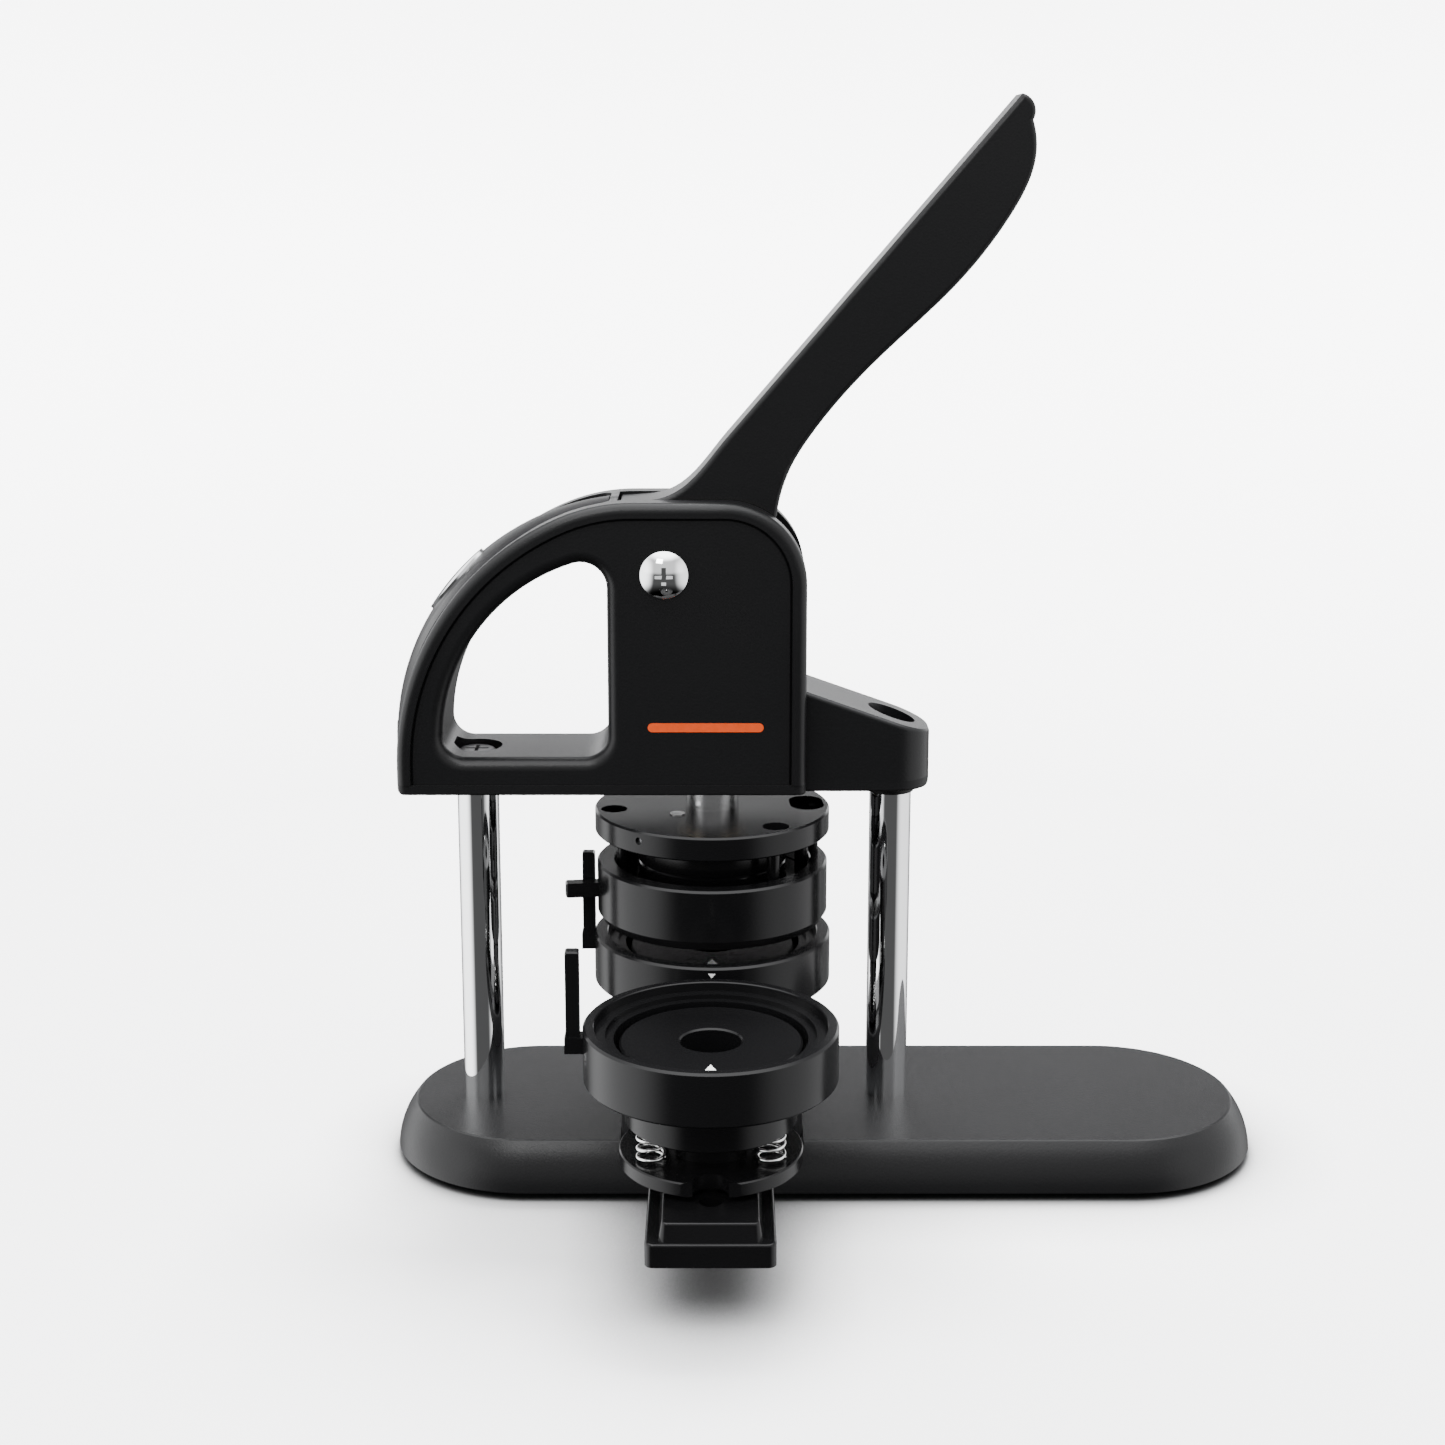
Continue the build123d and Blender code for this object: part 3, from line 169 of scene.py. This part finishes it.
# ---- materials ---------------------------------------------------------------
class Shader:
    """A material's node tree, with short calls for the nodes that it needs."""

    def __init__(self, name):
        self.material = bpy.data.materials.new(name)
        self.material.use_nodes = True
        self.tree = self.material.node_tree
        self.bsdf = self.tree.nodes["Principled BSDF"]
        self.coords = self.tree.nodes.new("ShaderNodeTexCoord").outputs["Object"]

    def link(self, source, target):
        self.tree.links.new(source, target)

    def stretched(self, scale):
        """The object's coordinates, scaled along each axis."""
        node = self.tree.nodes.new("ShaderNodeMapping")
        node.inputs["Scale"].default_value = scale
        self.link(self.coords, node.inputs["Vector"])
        return node.outputs["Vector"]

    def noise(self, scale, detail=2.0, rough=0.5, vector=None):
        node = self.tree.nodes.new("ShaderNodeTexNoise")
        node.inputs["Scale"].default_value = scale
        node.inputs["Detail"].default_value = detail
        node.inputs["Roughness"].default_value = rough
        self.link(vector or self.coords, node.inputs["Vector"])
        return node.outputs["Fac"]

    def spread(self, value, low, high, start=0.3, end=0.7):
        """Maps a value between start and end to a number between low and high."""
        node = self.tree.nodes.new("ShaderNodeMapRange")
        node.inputs["From Min"].default_value = start
        node.inputs["From Max"].default_value = end
        node.inputs["To Min"].default_value = low
        node.inputs["To Max"].default_value = high
        self.link(value, node.inputs["Value"])
        return node.outputs["Result"]

    def ramp(self, value, low, high, start=0.3, end=0.7):
        """Maps a value between start and end to a colour between low and high."""
        node = self.tree.nodes.new("ShaderNodeValToRGB")
        node.color_ramp.elements[0].position = start
        node.color_ramp.elements[0].color = low
        node.color_ramp.elements[1].position = end
        node.color_ramp.elements[1].color = high
        self.link(value, node.inputs["Fac"])
        return node.outputs["Color"]

    def bump(self, height, distance, strength=1.0):
        node = self.tree.nodes.new("ShaderNodeBump")
        node.inputs["Distance"].default_value = distance
        node.inputs["Strength"].default_value = strength
        self.link(height, node.inputs["Height"])
        return node.outputs["Normal"]

    def finish(self, colour, rough, normal):
        """Links the three things that every surface here varies by noise."""
        self.link(colour, self.bsdf.inputs["Base Color"])
        self.link(rough, self.bsdf.inputs["Roughness"])
        self.link(normal, self.bsdf.inputs["Normal"])


def scaled(colour, factor):
    return tuple(c * factor for c in colour[:3]) + (1.0,)


def moulded_plastic(name, colour, rough, grain_scale, grain_depth, shine):
    """Moulded black plastic: faint drifts in tone and gloss, and a fine even grain."""
    s = Shader(name)
    tone = s.ramp(s.noise(14.0), scaled(colour, 0.95), scaled(colour, 1.05))
    gloss = s.spread(s.noise(26.0), *rough)
    grain = s.noise(grain_scale, detail=3.0, rough=0.62)
    s.finish(tone, gloss, s.bump(grain, grain_depth))
    s.bsdf.inputs["Specular IOR Level"].default_value = shine
    return s.material


def turned_metal(name, colour, rough, mark_depth, stretch):
    """Metal with fine tool marks that run around or along it."""
    s = Shader(name)
    marks = s.noise(1.0, detail=5.0, rough=0.7, vector=s.stretched(stretch))
    cloud = s.noise(120.0, detail=3.0, rough=0.6)
    tone = s.ramp(cloud, scaled(colour, 0.9), scaled(colour, 1.06))
    s.finish(tone, s.spread(marks, *rough), s.bump(marks, mark_depth, strength=0.6))
    s.bsdf.inputs["Metallic"].default_value = 1.0
    return s.material


def plated(name, colour, rough):
    """Polished plating with a trace of haze."""
    s = Shader(name)
    haze = s.noise(160.0, detail=4.0, rough=0.65)
    tone = s.ramp(haze, scaled(colour, 0.97), colour)
    waves = s.noise(55.0)
    s.finish(tone, s.spread(haze, *rough), s.bump(waves, 0.000006, strength=0.3))
    s.bsdf.inputs["Metallic"].default_value = 1.0
    return s.material


def printed(name, colour):
    """Pad-printed ink: thin, slightly uneven and satin."""
    s = Shader(name)
    speck = s.noise(900.0, detail=3.0, rough=0.6)
    tone = s.ramp(speck, scaled(colour, 0.9), colour)
    s.finish(tone, s.spread(speck, 0.34, 0.5), s.bump(speck, 0.00002, strength=0.5))
    return s.material


MATERIALS = {
    "satin_black_plastic": moulded_plastic(
        "satin_black", ABS_BLACK, (0.29, 0.33), grain_scale=1900.0, grain_depth=0.00006, shine=0.22
    ),
    "matte_black_plastic": moulded_plastic(
        "matte_black", ABS_BLACK, (0.38, 0.43), grain_scale=1700.0, grain_depth=0.00006, shine=0.16
    ),
    "die_black_plastic": moulded_plastic(
        "die_black", DIE_BLACK, (0.17, 0.22), grain_scale=700.0, grain_depth=0.00001, shine=0.2
    ),
    "rubber": moulded_plastic(
        "rubber", RUBBER_BLACK, (0.7, 0.8), grain_scale=1800.0, grain_depth=0.0001, shine=0.3
    ),
    "steel": turned_metal(
        "turned_steel", STEEL_GREY, (0.16, 0.24), mark_depth=0.000004, stretch=(160.0, 160.0, 5200.0)
    ),
    "screw_steel": turned_metal(
        "zinc_screws", SCREW_GREY, (0.28, 0.4), mark_depth=0.00002, stretch=(900.0, 900.0, 900.0)
    ),
    "brass": turned_metal(
        "brass", BRASS_YELLOW, (0.2, 0.3), mark_depth=0.00001, stretch=(260.0, 260.0, 4200.0)
    ),
    "chrome": plated("chrome", CHROME_SILVER, (0.03, 0.06)),
    "spring_steel": plated("spring_wire", SPRING_SILVER, (0.1, 0.2)),
}
MARK_INK = printed("mark_ink", MARK_WHITE)
ACCENT_INK = printed("accent_ink", ACCENT_ORANGE)


def dress_nodes():
    """Every CAD node takes its slot's material; the screws over the posts are as dark as the rest."""
    for row in frame["record"]["subparts"]:
        node = NODES[row["node"]]
        slot = "screw_steel" if row["node"] in DARK_SCREWS else row["material_slot"]
        node.data.materials.clear()
        node.data.materials.append(MATERIALS[slot])


# ---- mesh helpers --------------------------------------------------------------
def add_mesh(name, bm, material, smooth=True):
    """Turns a bmesh into an object of the scene."""
    mesh = bpy.data.meshes.new(name)
    bmesh.ops.recalc_face_normals(bm, faces=bm.faces)
    bm.to_mesh(mesh)
    bm.free()
    for polygon in mesh.polygons:
        polygon.use_smooth = smooth
    obj = bpy.data.objects.new(name, mesh)
    bpy.context.scene.collection.objects.link(obj)
    mesh.materials.append(material)
    return obj


def tube_along(bm, points, radius, sides=WIRE_SIDES):
    """Adds a closed round tube that follows a list of points."""
    rings = []
    normal = None
    for i, point in enumerate(points):
        ahead = points[min(i + 1, len(points) - 1)]
        behind = points[max(i - 1, 0)]
        along = (ahead - behind).normalized()
        if normal is None:
            normal = along.orthogonal().normalized()
        normal = (normal - along * normal.dot(along)).normalized()
        across = along.cross(normal)
        ring = []
        for k in range(sides):
            angle = 2 * math.pi * k / sides
            outward = math.cos(angle) * normal + math.sin(angle) * across
            ring.append(bm.verts.new(point + radius * outward))
        rings.append(ring)
    for a, b in zip(rings, rings[1:]):
        for k in range(sides):
            bm.faces.new((a[k], a[(k + 1) % sides], b[(k + 1) % sides], b[k]))
    bm.faces.new(rings[0])
    bm.faces.new(rings[-1])


def prism(bm, points, depth):
    """Adds a flat plate: a loop of points, given thickness along a vector."""
    front = [bm.verts.new(p) for p in points]
    back = [bm.verts.new(p + depth) for p in points]
    bm.faces.new(front)
    bm.faces.new(list(reversed(back)))
    count = len(points)
    for i in range(count):
        j = (i + 1) % count
        bm.faces.new((front[i], back[i], back[j], front[j]))


# ---- springs -------------------------------------------------------------------
def spring_points(centre, radius, wire, bottom, top, turns):
    """Centreline of a compression spring whose end turns lie flat; wire is the wire's radius."""
    total = turns + 2 * CLOSED_TURNS
    steps = int(STEPS_PER_TURN * total)
    height = top - bottom - 2 * wire
    closed_pitch = CLOSED_PITCH * 2 * wire
    lead = closed_pitch * CLOSED_TURNS
    points = []
    for i in range(steps + 1):
        turn = total * i / steps
        if turn < CLOSED_TURNS:
            rise = closed_pitch * turn
        elif turn > total - CLOSED_TURNS:
            rise = height - closed_pitch * (total - turn)
        else:
            rise = lead + (turn - CLOSED_TURNS) / turns * (height - 2 * lead)
        angle = 2 * math.pi * turn
        offset = Vector((radius * math.cos(angle), radius * math.sin(angle), bottom + wire + rise))
        points.append(Vector((centre[0], centre[1], 0)) + offset)
    return points


def die_springs(name, node, centre_y):
    """Three chrome springs under a floating ring, built at one length and carried with the slide."""
    low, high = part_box(node)
    circle = DIE_SPRING_CIRCLE * MM
    coil = DIE_SPRING_COIL_RADIUS * MM
    wire = DIE_SPRING_WIRE_RADIUS * MM
    bm = bmesh.new()
    for degrees in DIE_SPRING_ANGLES:
        angle = math.radians(degrees)
        centre = (circle * math.cos(angle), centre_y + circle * math.sin(angle))
        points = spring_points(centre, coil, wire, low.z, high.z, DIE_SPRING_TURNS)
        tube_along(bm, points, wire)
    springs = add_mesh(name, bm, MATERIALS["spring_steel"])
    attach(springs, "slide")
    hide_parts(node)
    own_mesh(springs)


def return_spring():
    """The heavier spring round the ram, which lifts the lever."""
    low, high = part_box("return_spring")
    coil = RAM_SPRING_COIL_RADIUS * MM
    wire = RAM_SPRING_WIRE_RADIUS * MM
    bm = bmesh.new()
    points = spring_points((0, 0), coil, wire, low.z, high.z, RAM_SPRING_TURNS)
    tube_along(bm, points, wire, RAM_SPRING_WIRE_SIDES)
    spring = add_mesh("ram_return_spring", bm, MATERIALS["spring_steel"])
    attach(spring, "frame")
    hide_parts("return_spring")
    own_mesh(spring)


# ---- printing ------------------------------------------------------------------
def surface_point(node, start, direction):
    """Where a straight line from a point first meets a CAD node."""
    hit, place, _, _ = NODES[node].ray_cast(Vector(start), direction)
    if not hit:
        raise RuntimeError("no surface of " + node + " in that direction")
    return place


def ink_shape(name, body, place, across, along, outline, ink):
    """A thin printed shape that lies on a surface, its outline given in millimetres."""
    proud = across.cross(along) * INK_PROUD
    foot = place - proud * INK_SUNK_SHARE
    bm = bmesh.new()
    points = [foot + across * (u * MM) + along * (v * MM) for u, v in outline]
    prism(bm, points, proud * (1 + INK_SUNK_SHARE))
    shape = add_mesh(name, bm, ink, smooth=False)
    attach(shape, body)


def rounded_bar(width, height):
    """Outline of a bar with half-round ends."""
    radius = height / 2
    outline = []
    for side, turn in ((1, -90), (-1, 90)):
        end = side * (width / 2 - radius)
        for i in range(ACCENT_END_STEPS + 1):
            angle = math.radians(turn + 180 * i / ACCENT_END_STEPS)
            outline.append((end + radius * math.cos(angle), radius * math.sin(angle)))
    return outline


def disc_arrow(name, node, inset):
    """A white arrow on top of a die's disc, just behind the ring's front edge."""
    low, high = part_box(node)
    start = (0, low.y + inset * MM, high.z + DIE_CLEARANCE * MM)
    place = surface_point(node, start, -Z_AXIS)
    ink_shape(name, "slide", place, X_AXIS, Y_AXIS, DISC_ARROW, MARK_INK)


def ring_arrow():
    """A small white arrow on the front of ring B, which points down."""
    low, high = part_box("die_b_ring")
    start = (0, low.y - DIE_CLEARANCE * MM, high.z - RING_ARROW_DROP * MM)
    place = surface_point("die_b_ring", start, Y_AXIS)
    ink_shape("ring_b_front_arrow", "ring_b", place, -X_AXIS, -Z_AXIS, RING_ARROW, MARK_INK)


def accent_bar():
    """A plain orange bar on the head's front panel."""
    place = surface_point("head_front_cover", (ACCENT_X, PRESS_FRONT_Y, ACCENT_Z), Y_AXIS)
    bar = rounded_bar(ACCENT_WIDTH, ACCENT_HEIGHT)
    ink_shape("head_accent_bar", "frame", place, X_AXIS, Z_AXIS, bar, ACCENT_INK)


# ---- stage, light and camera -----------------------------------------------------
def stage_paper():
    """Pale paper with a shadow painted into its colour close to what stands on it, and a glow far
    from the middle.
    """
    s = Shader("stage_paper")
    paper = s.ramp(s.noise(1.5), PAPER_DARK, PAPER_LIGHT)
    # Painted shadow: ambient occlusion, raised to a power, darkens the paper's base colour near
    # whatever stands on it.
    painted_shadow = s.tree.nodes.new("ShaderNodeAmbientOcclusion")
    painted_shadow.samples = PAINTED_SHADOW_SAMPLES
    painted_shadow.inputs["Distance"].default_value = PAINTED_SHADOW_REACH
    depth = s.tree.nodes.new("ShaderNodeMath")
    depth.operation = "POWER"
    depth.inputs[1].default_value = PAINTED_SHADOW_DEPTH
    s.link(painted_shadow.outputs["AO"], depth.inputs[0])
    shaded = s.tree.nodes.new("ShaderNodeVectorMath")
    shaded.operation = "SCALE"
    s.link(paper, shaded.inputs[0])
    s.link(depth.outputs["Value"], shaded.inputs["Scale"])
    s.link(shaded.outputs["Vector"], s.bsdf.inputs["Base Color"])
    s.link(s.spread(s.noise(6.0), 0.9, 0.95), s.bsdf.inputs["Roughness"])
    s.bsdf.inputs["Specular IOR Level"].default_value = PAPER_SPECULAR
    s.bsdf.inputs["Emission Color"].default_value = (1.0, 1.0, 1.0, 1.0)
    away = s.tree.nodes.new("ShaderNodeVectorMath")
    away.operation = "LENGTH"
    s.link(s.coords, away.inputs[0])
    glow = s.spread(away.outputs["Value"], FLOOR_GLOW, WALL_GLOW, GLOW_START, GLOW_FULL)
    s.link(glow, s.bsdf.inputs["Emission Strength"])
    return s.material


def stage_bowl():
    """A pale floor that curves up into a wall all round; only the camera sees it."""
    profile = [(FLOOR_FIRST_RING * FLOOR_RING_GROWTH ** i, 0.0) for i in range(FLOOR_RINGS)]
    for i in range(1, BOWL_BEND_STEPS + 1):
        angle = math.radians(90 * i / BOWL_BEND_STEPS)
        reach = FLOOR_REACH + BOWL_BEND * math.sin(angle)
        profile.append((reach, BOWL_BEND * (1 - math.cos(angle))))
    profile.append((FLOOR_REACH + BOWL_BEND, BOWL_HEIGHT))
    bm = bmesh.new()
    rings = []
    for reach, height in profile:
        ring = []
        for k in range(BOWL_SIDES):
            angle = 2 * math.pi * k / BOWL_SIDES
            ring.append(bm.verts.new((reach * math.cos(angle), reach * math.sin(angle), height)))
        rings.append(ring)
    bm.faces.new(rings[0])
    for inner, outer in zip(rings, rings[1:]):
        for k in range(BOWL_SIDES):
            j = (k + 1) % BOWL_SIDES
            bm.faces.new((inner[k], outer[k], outer[j], inner[j]))
    bowl = add_mesh("stage_bowl", bm, stage_paper())
    bowl.visible_glossy = False
    bowl.visible_diffuse = False
    bowl.visible_transmission = False
    bowl.visible_shadow = False


def area_light(name, at, aim, size, power):
    """A rectangular lamp that the camera doesn't see."""
    light = bpy.data.lights.new(name, "AREA")
    light.shape = "RECTANGLE"
    light.size, light.size_y = size
    light.energy = power
    obj = bpy.data.objects.new(name, light)
    obj.location = at
    obj.rotation_euler = (Vector(aim) - Vector(at)).to_track_quat("-Z", "Y").to_euler()
    obj.visible_camera = False
    bpy.context.scene.collection.objects.link(obj)
    return obj


def studio_lights():
    """A weak lamp in front, and one over the back that throws the soft shadow forward."""
    area_light("high_front", **HIGH_FRONT)
    shadow_maker = area_light("top_back", **TOP_BACK)
    shadow_maker.visible_glossy = False


def studio_world():
    """Soft light by direction: bright overhead, bright to left and right, dim elsewhere."""
    world = bpy.data.worlds.new("studio")
    bpy.context.scene.world = world
    world.use_nodes = True
    tree = world.node_tree
    background = tree.nodes["Background"]
    background.inputs["Color"].default_value = WORLD_TINT
    axes = tree.nodes.new("ShaderNodeSeparateXYZ")
    directions = tree.nodes.new("ShaderNodeTexCoord").outputs["Generated"]
    tree.links.new(directions, axes.inputs["Vector"])

    def lobe(axis, start, full, strength):
        node = tree.nodes.new("ShaderNodeMapRange")
        node.interpolation_type = "SMOOTHSTEP"
        node.inputs["From Min"].default_value = start
        node.inputs["From Max"].default_value = full
        node.inputs["To Min"].default_value = 0.0
        node.inputs["To Max"].default_value = strength
        tree.links.new(axes.outputs[axis], node.inputs["Value"])
        return node.outputs["Result"]

    def maths(kind, first, second):
        node = tree.nodes.new("ShaderNodeMath")
        node.operation = kind
        for value, socket in zip((first, second), node.inputs):
            if isinstance(value, float):
                socket.default_value = value
            else:
                tree.links.new(value, socket)
        return node.outputs["Value"]

    front = maths("MULTIPLY", lobe("Y", *FRONT_PANEL), lobe("Z", *FRONT_PANEL_LOW))
    band = maths("MULTIPLY", lobe("Z", *HORIZON_LOW), lobe("Z", *HORIZON_HIGH))
    horizon = maths("MULTIPLY", band, lobe("Y", *HORIZON))
    total = AMBIENT
    for value in (
        lobe("X", *LEFT_PANEL),
        lobe("X", *RIGHT_PANEL),
        lobe("Y", *BACK_PANEL),
        lobe("Z", *TOP_PANEL),
        front,
        horizon,
    ):
        total = maths("ADD", value, total)
    strength = maths("MULTIPLY", total, lobe("Z", *UNDERSIDE))
    tree.links.new(strength, background.inputs["Strength"])


def camera():
    data = bpy.data.cameras.new("camera")
    data.sensor_width = CAMERA_SENSOR_MM
    data.lens = CAMERA_LENS_MM
    data.shift_y = CAMERA_SHIFT_Y
    data.clip_start = CAMERA_CLIP_START
    obj = bpy.data.objects.new("camera", data)
    obj.location = CAMERA_AT
    obj.rotation_euler = (math.radians(90 - CAMERA_PITCH_DEG), 0, 0)
    bpy.context.scene.collection.objects.link(obj)
    bpy.context.scene.camera = obj


camera()
dress_nodes()
die_springs("springs_a", "die_a_springs", DIE_A_CENTRE_Y * MM)
die_springs("springs_b", "die_b_springs", DIE_B_CENTRE_Y)
return_spring()
disc_arrow("disc_a_arrow", "die_a_core", DISC_A_ARROW_INSET)
disc_arrow("disc_b_arrow", "die_b_core", DISC_B_ARROW_INSET)
ring_arrow()
accent_bar()
stage_bowl()
studio_world()
studio_lights()
